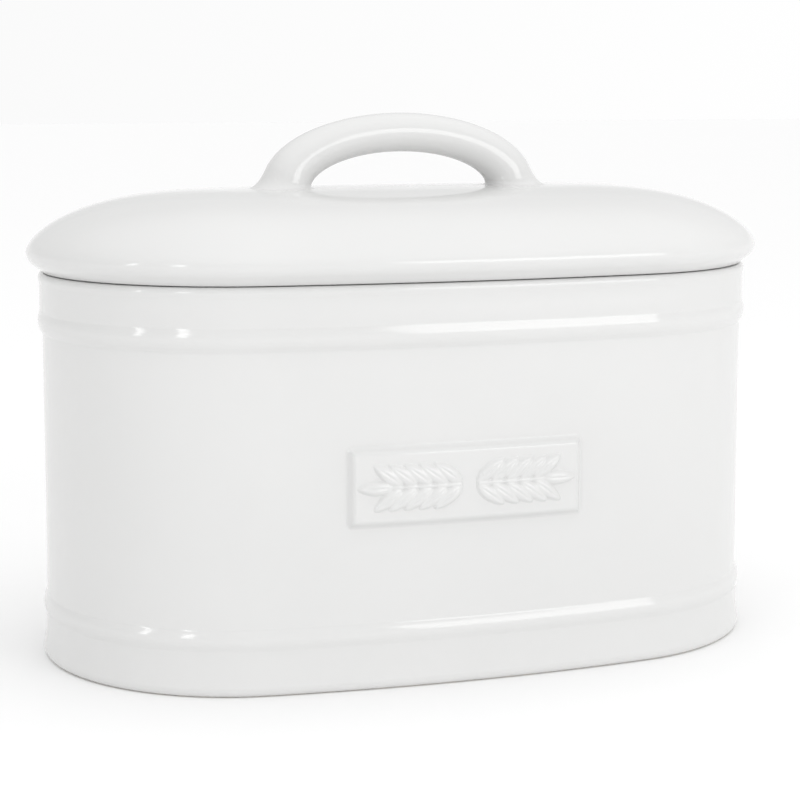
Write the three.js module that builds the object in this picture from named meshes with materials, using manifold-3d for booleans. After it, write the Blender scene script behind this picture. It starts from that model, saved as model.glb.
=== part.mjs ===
// Oval ceramic bread crock with a lift-off domed lid.
// Millimetres, +Z up. The origin is the middle of the footprint, on the table top.
// +X runs along the crock, and the label plaque faces -Y.
import * as THREE from "three";
import { mergeVertices } from "three/addons/utils/BufferGeometryUtils.js";
import Module from "manifold-3d";

// ---- driving dimensions -------------------------------------------------------------------
const HALF_LENGTH = 170;      // wall outline, half of its length at the rim
const HALF_WIDTH = 95;        // half of its width
const END_RADIUS = 90;        // radius of the two round ends
const RIM_Z = 179.7;          // top of the pot's rim
const WALL = 6;
const FLOOR = 7;
const DRAFT = 1.1;            // how much wider the wall is at the table than at the rim
const RIM_DRAFT = 0.4;        // how far the wall stands outside the outline at the rim
const GAP = 0.3;              // clearance between touching pieces

const LOWER_BAND_Z = 24.6;    // crests of the two raised bands
const UPPER_BAND_Z = 157.4;
const LOWER_BAND_PROUD = 1.65;
const UPPER_BAND_PROUD = 2.1;
const BAND_RADIUS = 9;        // of a band's rounded section
const BAND_STEPS = 8;         // facets across a band
const COVE_PROUD = 0.85;      // wall below the lower band
const COLLAR_PROUD = 1.1;     // wall above the upper band
const COLLAR_TOP_Z = 174;     // where the collar gives way to the lip
const LIP_PROUD = 1.7;        // rounded lip at the rim
const LIP_ROUND = [2.2, 2.6]; // its rounding, across and up
const RIM_ROUND = 2;          // rounding of the rim's inner edge

const PLINTH_PROUD = 2;       // spread foot of the pot, outside the wall
const PLINTH_EDGE = 3;        // radius of its lower edge
const PLINTH_TOP_Z = 4;
const COVE_BOTTOM_Z = 10.8;   // where the plinth has run out into the cove
const FOOT_RING_INSET = 11;   // inner edge of the ring it stands on, inside the outline
const FOOT_RING_SLOPE = 3;    // width of the slope from that edge up to the underside
const FOOT_RECESS = 3.2;      // height of the underside above the table
const FLOOR_CORNER = 12;      // radius between the inside wall and the floor

const LID_SEAT_Z = RIM_Z + GAP;
const LID_OVERHANG = 7.2;     // widest line of the lid, outside the wall outline
const LID_EDGE_RISE = 8.9;    // height of that widest line above the seat
const LID_EDGE_RADIUS = 6.5;  // of the rolled edge below the widest line
const LID_EDGE_TURN = 50;     // degrees it turns before it runs straight to the seat
const DOME_RISE = 27.8;       // crown above the widest line
const DOME_FULLNESS = [2.9, 1.55];        // exponents of the dome's section, across and up
const HOLLOW_FULLNESS = [3.2, 2.4];       // the same for the underside of the dome
const LID_THICKNESS = 6.4;    // at the crown
const FLANGE_CLEARANCE = 2.5; // between the locating flange and the pot's inside
const FLANGE_THICKNESS = 5;
const FLANGE_DEPTH = 11;
const HOLLOW_INSET = 0.6;     // edge of the lid's hollow, inside the flange

const PLAQUE_LENGTH = 109.6;
const PLAQUE_BOTTOM_Z = 73.1;
const PLAQUE_TOP_Z = 108.8;
const PLAQUE_PROUD = 3;
const PLAQUE_BEVEL = 3.4;
const PLAQUE_EDGE = 0.8;      // upright edge of the plaque, below its bevel

const STALK_START = 3;        // from the middle of the plaque to the cut end of each ear
const STALK_LENGTH = 38;
const STALK_WIDTH = 3;
const GRAIN_PAIRS = 5;
const GRAIN_PITCH = 6.8;
const GRAIN_LENGTH = 15;
const GRAIN_WIDTH = 6;
const GRAIN_LEAN = 36;        // degrees from the stalk
const FIRST_GRAIN = 7;        // middle of the first pair, along the stalk
const TIP_GRAIN = 2;          // middle of the single grain, beyond the stalk's tip
const GRAIN_STEM = 0.6;       // gap between a grain's lower end and the stalk's middle
const RELIEF_PROUD = 1.6;     // of the plaque's face

const HANDLE_SPAN = 111.6;    // between the middles of the two feet
const HANDLE_RISE = 25.25;    // centreline apex above the feet
const HANDLE_RADIUS = 9.15;   // section at the apex
const HANDLE_DEPTH = 1.04;    // width from front to back, against the thickness
const HANDLE_FOOT_SWELL = 3.2;
const HANDLE_FLARE = 3.6;     // extra radius where a foot meets the lid
const HANDLE_FLARE_RISE = 4;  // height over which that flare runs out
const HANDLE_SIDES = 20;

const CROCK_GLAZE = 0xf1f0ee;
const LID_GLAZE = 0xf3f2f0;
const GLAZE_ROUGHNESS = 0.12;

const END_STEPS = 18;         // facets round each end
const SIDE_STEPS = 8;         // facets along each long side

// ---- the oval outline ---------------------------------------------------------------------
// Four tangent arcs. A point is found by the direction its outward normal points in, so the
// same direction on a wider or narrower outline is the same place along the wall.
const SIDE_RADIUS = (HALF_LENGTH ** 2 - 2 * HALF_LENGTH * END_RADIUS + HALF_WIDTH ** 2)
  / (2 * (HALF_WIDTH - END_RADIUS));
const END_CENTRE = HALF_LENGTH - END_RADIUS;
const SIDE_CENTRE = SIDE_RADIUS - HALF_WIDTH;
const JOIN_ANGLE = Math.atan2(SIDE_CENTRE, END_CENTRE);

function outlineAngles() {
  const angles = [];
  for (let i = 0; i < END_STEPS; i++) {
    angles.push(-JOIN_ANGLE + (2 * JOIN_ANGLE * i) / END_STEPS);
  }
  for (let i = 0; i < SIDE_STEPS; i++) {
    angles.push(JOIN_ANGLE + ((Math.PI - 2 * JOIN_ANGLE) * i) / SIDE_STEPS);
  }
  return [...angles, ...angles.map((angle) => angle + Math.PI)];
}

function outlinePoint(angle, offset, z) {
  const c = Math.cos(angle);
  const s = Math.sin(angle);
  if (Math.abs(Math.atan2(s, Math.abs(c))) <= JOIN_ANGLE) {
    const radius = END_RADIUS + offset;
    return new THREE.Vector3(Math.sign(c) * END_CENTRE + radius * c, radius * s, z);
  }
  const radius = SIDE_RADIUS + offset;
  return new THREE.Vector3(radius * c, -Math.sign(s) * SIDE_CENTRE + radius * s, z);
}

function ovalRing(offset, z) {
  return outlineAngles().map((angle) => outlinePoint(angle, offset, z));
}

// y of the front wall at a given x, for a wall standing `offset` outside the outline
function frontY(x, offset) {
  return SIDE_CENTRE - Math.sqrt((SIDE_RADIUS + offset) ** 2 - x ** 2);
}

// ---- closed bodies from rings of points ---------------------------------------------------
function capTriangles(ring, base, normal) {
  const across = new THREE.Vector3().subVectors(ring[1], ring[0]).normalize();
  const up = new THREE.Vector3().crossVectors(normal, across);
  const flat = ring.map((point) => new THREE.Vector2(point.dot(across), point.dot(up)));
  return THREE.ShapeUtils.triangulateShape(flat, []).map((tri) => tri.map((i) => base + i));
}

function areaNormal(ring) {
  const sum = new THREE.Vector3();
  ring.forEach((point, i) => {
    sum.add(new THREE.Vector3().crossVectors(point, ring[(i + 1) % ring.length]));
  });
  return sum.normalize();
}

// Skins a stack of rings. `looped` joins the last ring to the first, otherwise both are capped.
function ringBody(rings, looped = false) {
  const count = rings[0].length;
  const positions = rings.flat().flatMap((point) => point.toArray());
  const triangles = [];
  const bands = looped ? rings.length : rings.length - 1;
  for (let band = 0; band < bands; band++) {
    const low = band * count;
    const high = ((band + 1) % rings.length) * count;
    for (let i = 0; i < count; i++) {
      const next = (i + 1) % count;
      triangles.push([low + i, low + next, high + next], [low + i, high + next, high + i]);
    }
  }
  if (!looped) {
    const last = rings.length - 1;
    capTriangles(rings[0], 0, areaNormal(rings[0]))
      .forEach(([a, b, c]) => triangles.push([a, c, b]));
    triangles.push(...capTriangles(rings[last], last * count, areaNormal(rings[last])));
  }
  const geometry = new THREE.BufferGeometry();
  geometry.setAttribute("position", new THREE.Float32BufferAttribute(positions, 3));
  geometry.setIndex(triangles.flat());
  return geometry;
}

// Sweeps a section of [offset, z] points round the oval.
function ovalSweep(section, looped = false) {
  return ringBody(section.map(([offset, z]) => ovalRing(offset, z)), looped);
}

// Points on an arc of an ellipse in a section; the angle is in degrees from the outward side.
function arc([offset, z], [across, up], from, to, steps) {
  return Array.from({ length: steps + 1 }, (_, i) => {
    const angle = THREE.MathUtils.degToRad(from + ((to - from) * i) / steps);
    return [offset + across * Math.cos(angle), z + up * Math.sin(angle)];
  });
}

// ---- solids that are joined and cut -------------------------------------------------------
const wasm = await Module();
wasm.setup();

function toSolid(geometry) {
  const bare = geometry.clone();
  bare.deleteAttribute("normal");
  bare.deleteAttribute("uv");
  const merged = mergeVertices(bare, 1e-4);
  return new wasm.Manifold(new wasm.Mesh({
    numProp: 3,
    vertProperties: new Float32Array(merged.attributes.position.array),
    triVerts: new Uint32Array(merged.index.array),
  }));
}

function toGeometry(solid) {
  const mesh = solid.getMesh();
  const geometry = new THREE.BufferGeometry();
  geometry.setAttribute("position", new THREE.Float32BufferAttribute(mesh.vertProperties, 3));
  geometry.setIndex(new THREE.Uint32BufferAttribute(mesh.triVerts, 1));
  return geometry;
}

// ---- crock ---------------------------------------------------------------------------------
const wallOffset = (z) => RIM_DRAFT + DRAFT * (1 - z / RIM_Z);

// A raised band of round section, which ends `below` and `above` proud of the plain wall.
function band(crestZ, proud, below, above) {
  const centre = [wallOffset(crestZ) + proud - BAND_RADIUS, crestZ];
  const turnTo = (level) => THREE.MathUtils.radToDeg(Math.acos(1 - (proud - level) / BAND_RADIUS));
  return arc(centre, [BAND_RADIUS, BAND_RADIUS], -turnTo(below), turnTo(above), BAND_STEPS);
}

function crockSection() {
  const plinth = wallOffset(0) + PLINTH_PROUD;
  const cove = wallOffset(COVE_BOTTOM_Z) + COVE_PROUD;
  const inside = RIM_DRAFT - WALL;
  const lip = RIM_DRAFT + LIP_PROUD;
  const [lipAcross, lipUp] = LIP_ROUND;
  return [
    [-FOOT_RING_INSET - FOOT_RING_SLOPE, FOOT_RECESS],
    [-FOOT_RING_INSET, 0],
    ...arc([plinth - PLINTH_EDGE, PLINTH_EDGE], [PLINTH_EDGE, PLINTH_EDGE], -90, 0, 4),
    [plinth, PLINTH_TOP_Z],
    [cove, COVE_BOTTOM_Z],
    ...band(LOWER_BAND_Z, LOWER_BAND_PROUD, COVE_PROUD, 0),
    ...band(UPPER_BAND_Z, UPPER_BAND_PROUD, 0, COLLAR_PROUD),
    [wallOffset(COLLAR_TOP_Z) + COLLAR_PROUD, COLLAR_TOP_Z],
    ...arc([lip - lipAcross, RIM_Z - lipUp], LIP_ROUND, -40, 90, 5),
    ...arc([inside + RIM_ROUND, RIM_Z - RIM_ROUND], [RIM_ROUND, RIM_ROUND], 90, 180, 3),
    ...arc([inside + DRAFT - FLOOR_CORNER, FLOOR + FLOOR_CORNER],
      [FLOOR_CORNER, FLOOR_CORNER], 0, -90, 5),
  ];
}

// ---- plaque and its wheat relief --------------------------------------------------------------
const PLAQUE_BACK = wallOffset(PLAQUE_BOTTOM_Z) + GAP;
const PLAQUE_FRONT = PLAQUE_BACK + PLAQUE_PROUD;
const PLAQUE_Z = (PLAQUE_BOTTOM_Z + PLAQUE_TOP_Z) / 2;

// One upright slice of the plaque at x, as deep as `offset` outside the outline.
function plaqueSlice(x, offset) {
  const foot = PLAQUE_BACK + PLAQUE_EDGE;
  const inset = (PLAQUE_BEVEL * (offset - foot)) / (PLAQUE_FRONT - foot);
  const hair = 0.01;          // keeps the end slices' corners apart
  const corners = [
    [PLAQUE_BACK, PLAQUE_BOTTOM_Z],
    [PLAQUE_BACK, PLAQUE_TOP_Z],
    [foot, PLAQUE_TOP_Z],
    [offset + hair, PLAQUE_TOP_Z - inset],
    [offset + hair, PLAQUE_BOTTOM_Z + inset],
    [foot, PLAQUE_BOTTOM_Z],
  ];
  return corners.map(([out, z]) => new THREE.Vector3(x, frontY(x, out), z));
}

function labelPlaque() {
  const half = PLAQUE_LENGTH / 2;
  const flatHalf = half - PLAQUE_BEVEL;
  const edge = PLAQUE_BACK + PLAQUE_EDGE;
  const slices = [plaqueSlice(-half, edge)];
  for (let i = 0; i <= SIDE_STEPS; i++) {
    slices.push(plaqueSlice(-flatHalf + (2 * flatHalf * i) / SIDE_STEPS, PLAQUE_FRONT));
  }
  slices.push(plaqueSlice(half, edge));
  return ringBody(slices);
}

// A grain or stalk: a stretched ball lying on the plaque, turned by `tilt` in its plane.
function grain(x, z, length, width, tilt) {
  const ball = new THREE.SphereGeometry(1, 8, 6);
  ball.rotateX(Math.PI / 2);
  ball.scale(length / 2, RELIEF_PROUD + GAP, width / 2);
  ball.rotateY(tilt);
  ball.translate(x, frontY(x, PLAQUE_FRONT), z);
  return toSolid(ball);
}

// An ear of wheat lying along the plaque; `side` is +1 for the right one, -1 for the left.
function wheatSprig(side) {
  const lean = THREE.MathUtils.degToRad(GRAIN_LEAN);
  const tip = STALK_START + STALK_LENGTH;
  let ear = grain(side * (STALK_START + tip) / 2, PLAQUE_Z, STALK_LENGTH, STALK_WIDTH, 0);
  ear = ear.add(grain(side * (tip + TIP_GRAIN), PLAQUE_Z, GRAIN_LENGTH, GRAIN_WIDTH, 0));
  for (let pair = 0; pair < GRAIN_PAIRS; pair++) {
    const x = side * (STALK_START + FIRST_GRAIN + pair * GRAIN_PITCH);
    for (const up of [1, -1]) {
      const z = PLAQUE_Z + up * (GRAIN_STEM + (GRAIN_LENGTH / 2) * Math.sin(lean));
      ear = ear.add(grain(x, z, GRAIN_LENGTH, GRAIN_WIDTH, -side * up * lean));
    }
  }
  const plaqueFace = toSolid(ovalSweep([[PLAQUE_FRONT + GAP, 0], [PLAQUE_FRONT + GAP, RIM_Z]]));
  return toGeometry(ear.subtract(plaqueFace));
}

// ---- lid ---------------------------------------------------------------------------------------
// Height of a dome at `inset` from its edge, for a dome of the given half width and rise.
function domeRise(inset, halfWidth, rise, [across, up]) {
  return rise * (1 - ((halfWidth - inset) / halfWidth) ** across) ** (1 / up);
}

function lidSection() {
  const hollowEdge = RIM_DRAFT - WALL - FLANGE_CLEARANCE - FLANGE_THICKNESS - HOLLOW_INSET;
  const hollowRise = LID_EDGE_RISE + DOME_RISE - LID_THICKNESS;
  const widestZ = LID_SEAT_Z + LID_EDGE_RISE;
  const rolled = arc([LID_OVERHANG - LID_EDGE_RADIUS, widestZ],
    [LID_EDGE_RADIUS, LID_EDGE_RADIUS], -LID_EDGE_TURN, 0, 5);
  const [rollStart, rollStartZ] = rolled[0];
  const straight = (rollStartZ - LID_SEAT_Z) * Math.tan(THREE.MathUtils.degToRad(LID_EDGE_TURN));
  const crownInset = [0.6, 2.5, 6, 11, 18, 28, 42, 60, 78, 96.8];
  const hollowInset = [75.6, 52, 34, 20, 10, 4, 1];
  return [
    ...hollowInset.map((inset) => [
      hollowEdge - inset,
      LID_SEAT_Z + domeRise(inset, HALF_WIDTH + hollowEdge, hollowRise, HOLLOW_FULLNESS),
    ]),
    [hollowEdge, LID_SEAT_Z],
    [rollStart - straight, LID_SEAT_Z],
    ...rolled,
    ...crownInset.map((inset) => [
      LID_OVERHANG - inset,
      widestZ + domeRise(inset, HALF_WIDTH + LID_OVERHANG, DOME_RISE, DOME_FULLNESS),
    ]),
  ];
}

function flangeSection() {
  const outer = RIM_DRAFT - WALL - FLANGE_CLEARANCE;
  const inner = outer - FLANGE_THICKNESS;
  const top = LID_SEAT_Z - GAP;
  const bottom = top - FLANGE_DEPTH;
  const middle = (outer + inner) / 2;
  return [
    [inner, top],
    ...arc([middle, bottom + FLANGE_THICKNESS / 2],
      [FLANGE_THICKNESS / 2, FLANGE_THICKNESS / 2], -180, 0, 4),
    [outer, top],
  ];
}

// The arched handle: round sections along half an ellipse, swelling into flared feet.
function lidHandle() {
  const footZ = LID_SEAT_Z + LID_EDGE_RISE + DOME_RISE + GAP;
  // degrees along the arch, closer together where the feet flare
  const turns = [0, 2.5, 5, 8, 12, 18, 26, 36, 48, 62, 76, 90];
  const angles = [...turns, ...turns.slice(0, -1).reverse().map((turn) => 180 - turn)];
  const rings = angles.map((degrees) => {
    const angle = THREE.MathUtils.degToRad(degrees);
    const rise = HANDLE_RISE * Math.sin(angle);
    const middle = new THREE.Vector3((HANDLE_SPAN / 2) * Math.cos(angle), 0, footZ + rise);
    const across = new THREE.Vector3(
      HANDLE_RISE * Math.cos(angle), 0, (HANDLE_SPAN / 2) * Math.sin(angle)).normalize();
    const flare = HANDLE_FLARE * Math.max(0, 1 - rise / HANDLE_FLARE_RISE) ** 2;
    const radius = HANDLE_RADIUS + HANDLE_FOOT_SWELL * (1 - Math.sin(angle)) ** 1.5 + flare;
    return Array.from({ length: HANDLE_SIDES }, (_, i) => {
      const turn = (2 * Math.PI * i) / HANDLE_SIDES;
      return middle.clone()
        .addScaledVector(across, radius * Math.cos(turn))
        .add(new THREE.Vector3(0, HANDLE_DEPTH * radius * Math.sin(turn), 0));
    });
  });
  return ringBody(rings);
}

// ---- assembly ------------------------------------------------------------------------------------
const bread_crock = new THREE.Group();

function addPiece(name, geometry, color) {
  const material = new THREE.MeshStandardMaterial({ color, roughness: GLAZE_ROUGHNESS, metalness: 0 });
  const mesh = new THREE.Mesh(geometry, material);
  mesh.name = name;
  bread_crock.add(mesh);
}

addPiece("crock_body", ovalSweep(crockSection()), CROCK_GLAZE);
addPiece("label_plaque", labelPlaque(), CROCK_GLAZE);
addPiece("wheat_sprig_left", wheatSprig(-1), CROCK_GLAZE);
addPiece("wheat_sprig_right", wheatSprig(1), CROCK_GLAZE);
addPiece("lid_dome", ovalSweep(lidSection()), LID_GLAZE);
addPiece("lid_locating_flange", ovalSweep(flangeSection(), true), LID_GLAZE);
addPiece("lid_handle", lidHandle(), LID_GLAZE);

export default bread_crock;
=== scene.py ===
import math
import bpy
import numpy as np
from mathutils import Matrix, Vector


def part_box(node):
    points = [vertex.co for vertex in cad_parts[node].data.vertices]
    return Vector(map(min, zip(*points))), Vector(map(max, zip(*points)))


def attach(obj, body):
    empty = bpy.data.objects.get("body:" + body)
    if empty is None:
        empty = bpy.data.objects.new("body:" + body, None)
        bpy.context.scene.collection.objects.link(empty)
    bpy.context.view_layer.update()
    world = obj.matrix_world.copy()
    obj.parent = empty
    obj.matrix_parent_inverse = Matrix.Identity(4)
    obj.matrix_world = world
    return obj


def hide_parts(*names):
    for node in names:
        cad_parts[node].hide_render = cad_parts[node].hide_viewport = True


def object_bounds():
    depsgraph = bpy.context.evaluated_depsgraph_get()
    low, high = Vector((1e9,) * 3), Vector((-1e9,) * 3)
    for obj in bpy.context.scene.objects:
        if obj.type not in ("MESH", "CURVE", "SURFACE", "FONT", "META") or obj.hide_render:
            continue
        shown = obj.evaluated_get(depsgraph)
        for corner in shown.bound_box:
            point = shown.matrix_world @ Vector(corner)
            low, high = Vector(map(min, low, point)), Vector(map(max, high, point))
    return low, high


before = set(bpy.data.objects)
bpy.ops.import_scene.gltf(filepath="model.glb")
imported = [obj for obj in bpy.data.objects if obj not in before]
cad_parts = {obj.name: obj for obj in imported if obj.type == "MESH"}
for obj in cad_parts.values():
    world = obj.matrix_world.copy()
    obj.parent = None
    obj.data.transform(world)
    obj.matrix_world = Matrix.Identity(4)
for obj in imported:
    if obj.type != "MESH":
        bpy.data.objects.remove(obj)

cad_low, cad_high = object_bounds()

# ---- Crock -------------------------------------------------------------------------------
# A deep oval pot, slip-cast in one piece of white stoneware in a plaster mould that gives it
# its two raised bands, the lip under the lid and the spread foot. It is glazed all over
# except on the ring it stands on, where the bare clay shows.

MM = 0.001
foot_spread = 3.5 * MM             # how far the foot stands outside the wall's outline
crock_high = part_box("crock_body")[1]
half_length = crock_high.x - foot_spread
half_width = crock_high.y - foot_spread
end_tightening = 5 * MM            # how much tighter the ends are than half the width
end_radius = half_width - end_tightening
rim_z = crock_high.z
wall_thickness = 6 * MM
floor_thickness = 7 * MM
rim_stand_out = 0.4 * MM           # of the wall outside its outline, at the rim
wall_draft = 1.1 * MM              # more than that at the table, so that the mould lets go

# The outline is four arcs that run into each other: two round ends and two long shallow
# sides. A place on it is given by the direction in which the wall faces there.
end_middle = half_length - end_radius
side_radius = (half_length ** 2 - 2 * half_length * end_radius + half_width ** 2) / (
    2 * (half_width - end_radius))
side_middle = side_radius - half_width
corner_turn = math.atan2(side_middle, end_middle)


def facings(end_steps, side_steps):
    """Directions round the oval, evenly spaced along each of its four arcs."""
    end = np.linspace(-corner_turn, corner_turn, end_steps, endpoint=False)
    side = np.linspace(corner_turn, math.pi - corner_turn, side_steps, endpoint=False)
    half = np.concatenate([end, side])
    return np.concatenate([half, half + math.pi])


def on_oval(facing, offset):
    """x and y on the oval that runs `offset` outside the outline."""
    c, s = np.cos(facing), np.sin(facing)
    at_end = np.abs(np.arctan2(s, np.abs(c))) <= corner_turn + 1e-9
    radius = np.where(at_end, end_radius, side_radius) + offset
    x = np.where(at_end, np.sign(c) * end_middle, 0) + radius * c
    y = np.where(at_end, 0, -np.sign(s) * side_middle) + radius * s
    return x, y


def hand_wave(x, y, z, depth):
    """The slow unevenness of cast clay that has shrunk in the kiln, as a small offset."""
    return depth * (
        np.sin(31 * x + 17 * z + 1.3) * np.cos(43 * y - 11 * z + 0.4)
        + 0.6 * np.sin(71 * z + 23 * x + 2.1) * np.cos(37 * x - 29 * y + 1.7))


def arc(middle, across, up, start, stop, steps):
    """Points on part of an ellipse in a section; 0 degrees faces outward and 90 up."""
    turns = np.radians(np.linspace(start, stop, steps + 1))
    return [(middle[0] + across * math.cos(t), middle[1] + up * math.sin(t)) for t in turns]


def softened(section, softness, spacing=0.35 * MM):
    """A section with its corners rounded as thick glaze rounds them, fewest points on flats."""
    points = np.array(section)
    run = np.concatenate([[0], np.cumsum(np.linalg.norm(np.diff(points, axis=0), axis=1))])
    steps = np.arange(0, run[-1], spacing)
    fine = np.column_stack([np.interp(steps, run, points[:, k]) for k in (0, 1)])
    reach = int(3 * softness / spacing)
    weights = np.exp(-0.5 * (np.arange(-reach, reach + 1) * spacing / softness) ** 2)
    weights /= weights.sum()
    before = 2 * fine[0] - fine[reach:0:-1]
    after = 2 * fine[-1] - fine[-2:-reach - 2:-1]
    padded = np.vstack([before, fine, after])
    smooth = np.column_stack([np.convolve(padded[:, k], weights, "valid") for k in (0, 1)])
    kept = [0]
    bend = 0.0
    for i in range(1, len(smooth) - 1):
        ahead = smooth[i + 1] - smooth[i]
        behind = smooth[i] - smooth[i - 1]
        bend += abs(math.atan2(behind[0] * ahead[1] - behind[1] * ahead[0], behind @ ahead))
        if bend > math.radians(5) or np.linalg.norm(smooth[i] - smooth[kept[-1]]) > 6 * MM:
            kept.append(i)
            bend = 0.0
    return smooth[kept + [len(smooth) - 1]]


def make_piece(name, rings, material, body, replaced, looped=False):
    """Skins a stack of rings with four-sided faces and closes its two ends."""
    rings = np.asarray(rings, float)
    count, around = rings.shape[:2]
    at = np.arange(count * around).reshape(count, around)
    low = at if looped else at[:-1]
    high = np.roll(at, -1, 0) if looped else at[1:]
    quads = np.stack([low, np.roll(low, -1, 1), np.roll(high, -1, 1), high], -1)
    faces = quads.reshape(-1, 4).tolist()
    if not looped:
        faces += [at[0, ::-1].tolist(), at[-1].tolist()]
    mesh = bpy.data.meshes.new(name)
    mesh.from_pydata(rings.reshape(-1, 3).tolist(), [], faces)
    mesh.polygons.foreach_set("use_smooth", [True] * len(faces))
    mesh.validate()
    piece = bpy.data.objects.new(name, mesh)
    bpy.context.scene.collection.objects.link(piece)
    mesh.materials.append(material)
    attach(piece, body)
    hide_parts(*replaced)


def swept(section, depth, end_steps=110, side_steps=26):
    """A section of (offset, z) points carried round the oval, with the clay's unevenness."""
    facing = facings(end_steps, side_steps)
    rings = []
    for offset, z in section:
        x, y = on_oval(facing, offset)
        x, y = on_oval(facing, offset + hand_wave(x, y, z, depth))
        rings.append(np.column_stack([x, y, np.full(len(facing), z)]))
    return rings


def glaze(name, pale, hollow_shade, bare_below=None):
    """White gloss glaze over stoneware, darker and slightly cooler in hollows: painted shade there,
    with a slight cool tint of pooled glaze.
    """
    material = bpy.data.materials.new(name)
    material.use_nodes = True
    nodes, links = material.node_tree.nodes, material.node_tree.links
    shader = nodes["Principled BSDF"]
    shader.inputs["IOR"].default_value = 1.52
    place = nodes.new("ShaderNodeTexCoord").outputs["Object"]

    def noise(scale, detail, rough):
        node = nodes.new("ShaderNodeTexNoise")
        node.inputs["Scale"].default_value = scale
        node.inputs["Detail"].default_value = detail
        node.inputs["Roughness"].default_value = rough
        links.new(place, node.inputs["Vector"])
        return node.outputs["Fac"]

    def ranged(value, low, high, to_low, to_high):
        node = nodes.new("ShaderNodeMapRange")
        node.interpolation_type = "SMOOTHSTEP"
        for socket, number in zip(("From Min", "From Max", "To Min", "To Max"),
                                  (low, high, to_low, to_high)):
            node.inputs[socket].default_value = number
        links.new(value, node.inputs["Value"])
        return node.outputs["Result"]

    def mixed(factor, first, second):
        node = nodes.new("ShaderNodeMix")
        node.data_type = "RGBA"
        links.new(factor, node.inputs["Factor"])
        for socket, colour in ((node.inputs[6], first), (node.inputs[7], second)):
            if isinstance(colour, tuple):
                socket.default_value = (*colour, 1)
            else:
                links.new(colour, socket)
        return node.outputs[2]

    def blended(factor, first, second):
        node = nodes.new("ShaderNodeMix")
        links.new(factor, node.inputs["Factor"])
        links.new(first, node.inputs[2])
        node.inputs[3].default_value = second
        return node.outputs[0]

    edge = nodes.new("ShaderNodeNewGeometry").outputs["Pointiness"]
    colour = mixed(ranged(noise(11, 2, 0.5), 0.35, 0.65, 0, 1), pale,
                   tuple(0.988 * channel for channel in pale))
    # Painted shade: darker where the surface is hollow (low pointiness), with a slight cool tint of
    # pooled glaze.
    colour = mixed(ranged(edge, 0.5, 0.44, 0, 0.8), colour, hollow_shade)
    roughness = ranged(noise(38, 3, 0.55), 0.3, 0.7, 0.075, 0.125)
    height = ranged(noise(85, 2, 0.5), 0.2, 0.8, 0, 1)
    if bare_below is not None:
        split = nodes.new("ShaderNodeSeparateXYZ")
        links.new(place, split.inputs[0])
        jitter = nodes.new("ShaderNodeMath")
        jitter.operation = "MULTIPLY_ADD"
        links.new(noise(160, 3, 0.6), jitter.inputs[0])
        jitter.inputs[1].default_value = 0.8 * MM
        links.new(split.outputs["Z"], jitter.inputs[2])
        bare = ranged(jitter.outputs[0], bare_below, bare_below + 0.5 * MM, 1, 0)
        clay = mixed(noise(900, 4, 0.7), (0.74, 0.7, 0.62), (0.83, 0.8, 0.73))
        colour = mixed(bare, colour, clay)
        roughness = blended(bare, roughness, 0.8)
    links.new(colour, shader.inputs["Base Color"])
    links.new(roughness, shader.inputs["Roughness"])
    bump = nodes.new("ShaderNodeBump")
    bump.inputs["Strength"].default_value = 0.25
    bump.inputs["Distance"].default_value = 0.06 * MM
    links.new(height, bump.inputs["Height"])
    links.new(bump.outputs["Normal"], shader.inputs["Normal"])
    return material


def wall_at(z):
    """How far the plain wall stands outside the outline at a height."""
    return rim_stand_out + wall_draft * (1 - z / rim_z)


unevenness = 0.05 * MM
foot_edge = 3 * MM                 # radius of the foot's lower edge
foot_top_z = 4 * MM
cove_bottom_z = 10.8 * MM          # where the foot has run out into the cove above it
foot_ring_inner = -11 * MM
foot_ring_slope = 2.6 * MM         # from the ring up to the recessed underside
underside_reach = -30 * MM         # where the underside is closed by one flat face
floor_reach = -40 * MM             # the same for the floor inside
foot_recess = 3.2 * MM
cove_stand_out = 0.85 * MM
lower_band_z = 24.6 * MM
lower_band_stand_out = 1.65 * MM
upper_band_z = 157.4 * MM
upper_band_stand_out = 2.1 * MM
band_radius = 9 * MM               # of a band's rounded section
collar_stand_out = 1.1 * MM        # of the wall above the upper band
collar_top_z = 174 * MM
lip_stand_out = rim_stand_out + 1.7 * MM
lip_across, lip_up = 2.2 * MM, 2.6 * MM
rim_round = 2 * MM
inside_rim = rim_stand_out - wall_thickness
inner_corner = 12 * MM


def band(crest_z, stand_out, below, above):
    """A raised band of round section, which ends `below` and `above` out from the plain wall."""
    down, up = (math.degrees(math.acos(1 - (stand_out - level) / band_radius))
                for level in (below, above))
    middle = (wall_at(crest_z) + stand_out - band_radius, crest_z)
    return arc(middle, band_radius, band_radius, -down, up, 24)


cove = wall_at(cove_bottom_z) + cove_stand_out
crock_section = [
    (underside_reach, foot_recess),
    (foot_ring_inner - foot_ring_slope, foot_recess),
    (foot_ring_inner, 0.0),
    *arc((foot_spread - foot_edge, foot_edge), foot_edge, foot_edge, -90, 0, 10),
    (foot_spread, foot_top_z),
    (cove, cove_bottom_z),
    *band(lower_band_z, lower_band_stand_out, cove_stand_out, 0),
    *band(upper_band_z, upper_band_stand_out, 0, collar_stand_out),
    (wall_at(collar_top_z) + collar_stand_out, collar_top_z),
    *arc((lip_stand_out - lip_across, rim_z - lip_up), lip_across, lip_up, -40, 90, 12),
    *arc((inside_rim + rim_round, rim_z - rim_round), rim_round, rim_round, 90, 180, 8),
    *arc((inside_rim + wall_draft - inner_corner, floor_thickness + inner_corner),
         inner_corner, inner_corner, 0, -90, 16),
    (floor_reach, floor_thickness),
]
# The second colour is the painted shade for the crock's hollows.
crock_glaze = glaze("crock_glaze", (0.70, 0.70, 0.695), (0.65, 0.657, 0.652), 0.6 * MM)
crock_rings = swept(softened(crock_section, 0.55 * MM), unevenness)
make_piece("crock", crock_rings, crock_glaze, "crock", ["crock_body"])

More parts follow.
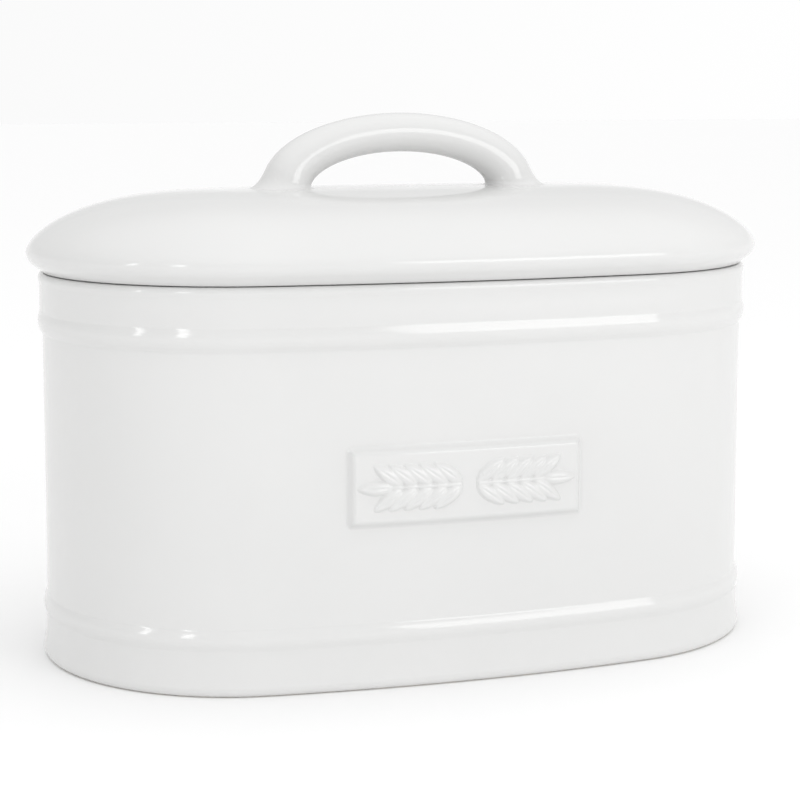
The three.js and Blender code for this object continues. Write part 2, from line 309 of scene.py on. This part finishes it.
# ---- Panel ------------------------------------------------------------------------------------
# The raised label panel on the front: a flat tile of the same clay, pressed on with slip
# before firing. The glaze has run over its sloping edges and softened them.

panel_low, panel_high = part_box("label_plaque")
panel_height = 3.1 * MM
panel_slope = 3.6 * MM             # width of the sloping edge
panel_toe = 1.1 * MM               # how far the slip fillet runs out on to the wall
panel_corner = 1.8 * MM
buried = 0.06 * MM                 # a piece's thin edge lies this far inside what it is on


def on_front(x, z, height):
    """A place on the front of the crock, `height` out from its wall."""
    base = wall_at(z)
    facing = -np.arccos(x / (side_radius + base))
    px, py = on_oval(facing, base)
    offset = base + hand_wave(px, py, z, unevenness) + height
    px, py = on_oval(facing, offset)
    return np.stack([px, py, z], -1)


def raised_piece(name, x_ends, z_ends, pitch, height_of, depth, material, replaced):
    """A closed raised piece on the front wall, from its height at each x and z."""
    xs = np.linspace(*x_ends, int((x_ends[1] - x_ends[0]) / pitch) + 1)
    zs = np.linspace(*z_ends, int((z_ends[1] - z_ends[0]) / pitch) + 1)
    x, z = np.meshgrid(xs, zs, indexing="ij")
    height = height_of(x, z)
    front = on_front(x, z, height)
    back = on_front(x, z, np.minimum(height.min(), 0) * np.ones_like(x) - depth)
    loops = np.concatenate([front, back[:, ::-1]], axis=1)
    make_piece(name, loops, material, "crock", replaced)


def smooth_step(t):
    """0 to 1 with no kink at either end."""
    t = np.clip(t, 0, 1)
    return t * t * t * (t * (6 * t - 15) + 10)


def panel_surface(x, z):
    """Height of the panel: flat, with sloping edges that run out to nothing."""
    half = np.array([panel_high.x, (panel_high.z - panel_low.z) / 2]) - panel_corner
    qx = np.abs(x) - half[0]
    qz = np.abs(z - (panel_low.z + panel_high.z) / 2) - half[1]
    outside = np.hypot(np.maximum(qx, 0), np.maximum(qz, 0))
    depth = panel_corner - outside - np.minimum(np.maximum(qx, qz), 0)
    return panel_height * smooth_step((depth + panel_toe) / (panel_slope + panel_toe)) - buried


panel_margin = panel_toe + 0.6 * MM
raised_piece(
    "label_panel",
    (panel_low.x - panel_margin, panel_high.x + panel_margin),
    (panel_low.z - panel_margin, panel_high.z + panel_margin),
    0.5 * MM, panel_surface, 1 * MM, crock_glaze, ["label_plaque"])

# ---- Wheat ears -------------------------------------------------------------------------------
# Two ears of wheat in low relief, lying on the panel with their stalks together. They are
# pressed from the same clay in a small mould, each grain with a crease down its middle.

ear_pairs = 5
ear_pitch = 6.8 * MM
grain_half_length = 7.9 * MM
grain_half_width = 3.05 * MM
grain_height = 1.85 * MM
grain_lean = math.radians(36)
stalk_half_width = 0.95 * MM
stalk_height = 1.1 * MM
stalk_start = 3 * MM
stalk_length = 38 * MM
first_grain = 7 * MM               # middle of the first pair, along the stalk
tip_grain = 2 * MM                 # middle of the last grain, beyond the stalk
grain_stem = 0.9 * MM              # between a grain's lower end and the stalk's middle
crease_width = 0.42 * MM
ear_softness = 0.3 * MM            # how far the glaze rounds the grains
ear_sunk = 0.04 * MM
ear_grid = 0.24 * MM               # spacing of the mesh over an ear
ear_z = (panel_low.z + panel_high.z) / 2


def grain_surface(x, z, middle_x, middle_z, lean):
    """A plump pointed grain with a crease along it."""
    along = (x - middle_x) * math.cos(lean) + (z - middle_z) * math.sin(lean)
    across = (z - middle_z) * math.cos(lean) - (x - middle_x) * math.sin(lean)
    t = np.clip(along / grain_half_length, -1, 1)
    width = grain_half_width * (1 - t * t) ** 0.62 * (1 - 0.22 * t) + 1e-6
    plump = np.sqrt(np.clip(1 - (across / width) ** 2, 0, 1)) * (1 - t * t) ** 0.45
    crease = 0.3 * np.exp(-(across / crease_width) ** 2) * (1 - t * t)
    return grain_height * plump * (1 - crease)


def blurred(height, pitch, softness):
    """A height field with its creases filled a little, as glaze fills them."""
    reach = int(3 * softness / pitch)
    weights = np.exp(-0.5 * (np.arange(-reach, reach + 1) * pitch / softness) ** 2)
    weights /= weights.sum()
    for axis in (0, 1):
        height = np.apply_along_axis(
            lambda line: np.convolve(line, weights, "same"), axis, height)
    return height


def ear_surface(x, z):
    """Height of the right-hand ear; the left one is its mirror image."""
    x = np.abs(x)
    tip = stalk_start + stalk_length
    along = np.clip((x - stalk_start) / (tip - stalk_start), 0, 1)
    ends = smooth_step((x - stalk_start) / (1.2 * MM)) * smooth_step((tip - x) / (2 * MM))
    stalk = stalk_height * ends * np.sqrt(
        np.clip(1 - ((z - ear_z) / (stalk_half_width * (1.15 - 0.4 * along))) ** 2, 0, 1))
    height = np.maximum(stalk, grain_surface(x, z, tip + tip_grain, ear_z, 0))
    for pair in range(ear_pairs):
        middle = stalk_start + first_grain + pair * ear_pitch
        for up in (1, -1):
            lift = up * (grain_stem + grain_half_length * math.sin(grain_lean))
            height = np.maximum(
                height, grain_surface(x, z, middle, ear_z + lift, up * grain_lean))
    return panel_height - buried + blurred(height, ear_grid, ear_softness) - ear_sunk


for node in ("wheat_sprig_left", "wheat_sprig_right"):
    ear_low, ear_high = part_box(node)
    raised_piece(
        node.replace("sprig", "ear"),
        (ear_low.x - 1.2 * MM, ear_high.x + 1.2 * MM),
        (ear_low.z - 1.6 * MM, ear_high.z + 1.6 * MM),
        ear_grid, ear_surface, 0.8 * MM, crock_glaze, [node])

# ---- Lid ------------------------------------------------------------------------------------------
# The domed lid, cast in the same stoneware with a thick rolled edge that hangs over the
# crock's rim. Its flat seat rests on the rim, and its underside is hollowed out.

lid_low, lid_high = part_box("lid_dome")
lid_overhang = lid_high.x - half_length - 0.02 * MM      # room for the glaze to wave in
lid_seat_z = lid_low.z
lid_edge_rise = 8.9 * MM           # of the lid's widest line above its seat
lid_edge_radius = 6.5 * MM         # of the rolled edge below that line
lid_edge_turn = 50                 # degrees it turns before it runs straight to the seat
dome_rise = lid_high.z - lid_seat_z - lid_edge_rise
dome_across, dome_up = 2.9, 1.55   # how square the dome's shoulder is
hollow_across, hollow_up = 3.2, 2.4            # the same for the underside
crowding = 1.9                     # how much closer the rings are near an edge
crown_opening = 0.4 * MM           # between the innermost ring and the line it would shrink to
lid_hollow_edge = inside_rim - 8.1 * MM
lid_crown_thickness = 6.4 * MM


def dome_height(inset):
    """Height of the dome above the lid's widest line, `inset` in from that line."""
    share = np.clip((half_width + lid_overhang - inset) / (half_width + lid_overhang), 0, 1)
    return dome_rise * (1 - share ** dome_across) ** (1 / dome_up)


def hollow_height(inset):
    """Height of the underside above the seat, `inset` in from the hollow's edge."""
    full = half_width + lid_hollow_edge
    share = np.clip((full - inset) / full, 0, 1)
    rise = lid_edge_rise + dome_rise - lid_crown_thickness
    return rise * (1 - share ** hollow_across) ** (1 / hollow_up)


crown_end = end_radius + lid_overhang - crown_opening
crown_insets = crown_end * np.linspace(0.0, 1, 90)[1:] ** crowding
hollow_end = end_radius + lid_hollow_edge - crown_opening
hollow_insets = hollow_end * np.linspace(1, 0.0, 60)[:-1] ** crowding
rolled_edge = arc((lid_overhang - lid_edge_radius, lid_seat_z + lid_edge_rise),
                  lid_edge_radius, lid_edge_radius, -lid_edge_turn, 0, 24)
under_edge = rolled_edge[0][0] - (rolled_edge[0][1] - lid_seat_z) * math.tan(
    math.radians(lid_edge_turn))
lid_section = [
    *((lid_hollow_edge - i, lid_seat_z + hollow_height(i)) for i in hollow_insets),
    (lid_hollow_edge, lid_seat_z),
    (under_edge, lid_seat_z),
    *rolled_edge,
    *((lid_overhang - i, lid_seat_z + lid_edge_rise + dome_height(i)) for i in crown_insets),
]
# The second colour is the painted shade for the lid's hollows.
lid_white, lid_hollow_shade = (0.705, 0.705, 0.70), (0.655, 0.662, 0.657)
lid_glaze = glaze("lid_glaze", lid_white, lid_hollow_shade)
lid_rings = swept(softened(lid_section, 0.5 * MM), unevenness)
make_piece("lid", lid_rings, lid_glaze, "lid", ["lid_dome"])

# ---- Locating flange ---------------------------------------------------------------------------
# A plain ring luted under the lid, which drops inside the crock's rim and stops the lid
# from sliding. Its lower edge is wiped bare, because the lid stands on it in the kiln.

flange_low, flange_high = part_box("lid_locating_flange")
flange_outer = flange_high.x - half_length
flange_thickness = 5 * MM
flange_middle = flange_outer - flange_thickness / 2
flange_section = [
    (flange_middle, flange_high.z),
    (flange_outer - flange_thickness, flange_high.z),
    *arc((flange_middle, flange_low.z + flange_thickness / 2),
         flange_thickness / 2, flange_thickness / 2, -180, 0, 16),
    (flange_outer, flange_high.z),
]
flange_glaze = glaze("flange_glaze", lid_white, lid_hollow_shade, flange_low.z + 0.9 * MM)
make_piece("locating_flange", swept(flange_section, unevenness), flange_glaze, "lid",
           ["lid_locating_flange"], looped=True)

# ---- Handle ---------------------------------------------------------------------------------------
# An arched bar of round section, pulled in clay and luted across the crown of the lid. It
# thickens towards its feet, and slip smoothed round each foot runs out into the dome.

handle_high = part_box("lid_handle")[1]
handle_half_span = 55.8 * MM
handle_radius = 9.15 * MM          # at the top of the arch
handle_foot_swell = 3.2 * MM
handle_depth = 1.04                # width from front to back, against its thickness
foot_fillet = 5 * MM
crown_z = lid_high.z
handle_rise = handle_high.z - crown_z - handle_radius
fillet_top = 5.2 * MM              # height above the crown where the fillet starts
handle_sides = 64
arch_rings = 90
first_turn = math.asin(fillet_top / handle_rise)
root_width = 0.8                   # of the buried end of a foot, against its toe
root_depth = 1 * MM


def dome_z(x, y):
    """Top of the lid near its middle, between the centres of the two round ends."""
    inset = side_radius + lid_overhang - np.hypot(x, side_middle + np.abs(y))
    return lid_seat_z + lid_edge_rise + dome_height(inset)


def handle_ring(turn):
    """The bar's section at an angle along its arch."""
    middle = np.array([handle_half_span * math.cos(turn), 0,
                       crown_z + handle_rise * math.sin(turn)])
    out = np.array([handle_rise * math.cos(turn), 0, handle_half_span * math.sin(turn)])
    out /= np.linalg.norm(out)
    radius = handle_radius + handle_foot_swell * (1 - math.sin(turn)) ** 1.5
    around = np.linspace(0, 2 * math.pi, handle_sides, endpoint=False)[:, None]
    depthwise = np.array([0, handle_depth, 0])
    return middle + radius * (np.cos(around) * out + np.sin(around) * depthwise)


def foot_rings(ring, side):
    """Rings that curve from the bar down on to the dome, from the lid upwards."""
    steps = 12
    middle = ring.mean(0)
    away = (ring - middle) * np.array([1, 1, 0])
    away /= np.linalg.norm(away, axis=1)[:, None]
    down = np.array([side * handle_half_span * math.sin(first_turn), 0,
                     -handle_rise * math.cos(first_turn)])
    down /= np.linalg.norm(down)
    knee = ring + down * ((ring[:, 2] - crown_z) / -down[2])[:, None]
    toe = knee + away * foot_fillet
    toe[:, 2] = dome_z(toe[:, 0], toe[:, 1]) - buried
    knee[:, 2] = toe[:, 2]
    t = np.linspace(0, 1, steps + 1)[1:, None, None]
    curve = (1 - t) ** 2 * ring + 2 * t * (1 - t) * knee + t ** 2 * toe
    under = middle + root_width * (toe - middle)
    under[:, 2] = toe[:, 2].min() - root_depth
    return [under, *curve[::-1]]


arch = [handle_ring(turn) for turn in np.linspace(first_turn, math.pi - first_turn, arch_rings)]
handle_rings = foot_rings(arch[0], 1) + arch + foot_rings(arch[-1], -1)[::-1]
make_piece("handle", handle_rings, lid_glaze, "lid", ["lid_handle"])

# ---- Table and light ------------------------------------------------------------------------------
# A plain white table top that runs far back, under a pale sky that is brightest overhead
# and dimmest a little above the horizon. A wide soft lamp stands right, two narrow ones left.

table_mesh = bpy.data.meshes.new("table")
table_reach = 12.0
table_mesh.from_pydata(
    [(x * table_reach, y * table_reach, 0) for x, y in ((-1, -1), (1, -1), (1, 1), (-1, 1))],
    [], [(0, 1, 2, 3)])
table = bpy.data.objects.new("table", table_mesh)
bpy.context.scene.collection.objects.link(table)
table_paint = bpy.data.materials.new("table_paint")
table_paint.use_nodes = True
table_shader = table_paint.node_tree.nodes["Principled BSDF"]
table_shader.inputs["Base Color"].default_value = (0.93, 0.93, 0.93, 1)
table_shader.inputs["Roughness"].default_value = 0.9
table_shader.inputs["Specular IOR Level"].default_value = 0.1
table_mesh.materials.append(table_paint)

sky = bpy.data.worlds.new("studio")
sky.use_nodes = True
sky_nodes, sky_links = sky.node_tree.nodes, sky.node_tree.links
sky_way = sky_nodes.new("ShaderNodeSeparateXYZ")
sky_links.new(sky_nodes.new("ShaderNodeTexCoord").outputs["Generated"], sky_way.inputs[0])
sky_ramp = sky_nodes.new("ShaderNodeValToRGB")
sky_ramp.color_ramp.interpolation = "EASE"
sky_stops = sky_ramp.color_ramp.elements
for at in (0.04, 0.18, 0.45):
    sky_stops.new(at)
for stop, level in zip(sky_stops, (0.63, 0.63, 0.5, 0.52, 0.92)):    # horizon to straight up
    stop.color = (level, level, level, 1)
sky_links.new(sky_way.outputs["Z"], sky_ramp.inputs["Fac"])
sky_links.new(sky_ramp.outputs["Color"], sky_nodes["Background"].inputs["Color"])
sky_side = sky_nodes.new("ShaderNodeMath")
sky_side.operation = "MULTIPLY_ADD"
sky_side.inputs[1].default_value = 0.17                            # brighter to the right
sky_side.inputs[2].default_value = 1.5
sky_links.new(sky_way.outputs["X"], sky_side.inputs[0])
sky_links.new(sky_side.outputs[0], sky_nodes["Background"].inputs["Strength"])
bpy.context.scene.world = sky
bpy.context.scene.view_settings.view_transform = "Standard"


def lamp(name, azimuth, elevation, distance, size, watts):
    """A soft rectangular lamp that faces the crock from a compass bearing; 0 is the front."""
    light = bpy.data.lights.new(name, "AREA")
    light.shape = "RECTANGLE"
    light.size, light.size_y = size
    light.energy = watts
    piece = bpy.data.objects.new(name, light)
    a, e = math.radians(azimuth), math.radians(elevation)
    back = Vector((math.sin(a) * math.cos(e), -math.cos(a) * math.cos(e), math.sin(e)))
    piece.location = Vector((0, 0, rim_z / 2)) + distance * back
    piece.rotation_euler = back.to_track_quat("Z", "Y").to_euler()
    bpy.context.scene.collection.objects.link(piece)


lamp("right_window", 28, 16, 2.2, (1.15, 0.9), 9.5)
lamp("left_strip", -71, 16, 1.7, (0.12, 0.55), 1.1)
lamp("left_window", -46, 16, 1.7, (0.17, 0.55), 1.5)

# ---- Camera -----------------------------------------------------------------------------------------
# It looks at the middle of the crock from a little to the left and a little above, from
# about a metre away.

camera_azimuth = math.radians(-18.16)
camera_elevation = math.radians(8.93)
camera_distance = 0.985
camera_aim = Vector((0.2 * MM, 0, 0.451 * cad_high.z))
camera = bpy.data.objects.new("camera", bpy.data.cameras.new("camera"))
camera.data.lens = 91.4
back = Vector((math.sin(camera_azimuth) * math.cos(camera_elevation),
               -math.cos(camera_azimuth) * math.cos(camera_elevation),
               math.sin(camera_elevation)))
camera.location = camera_aim + camera_distance * back
camera.rotation_euler = back.to_track_quat("Z", "Y").to_euler()
bpy.context.scene.collection.objects.link(camera)
bpy.context.scene.camera = camera
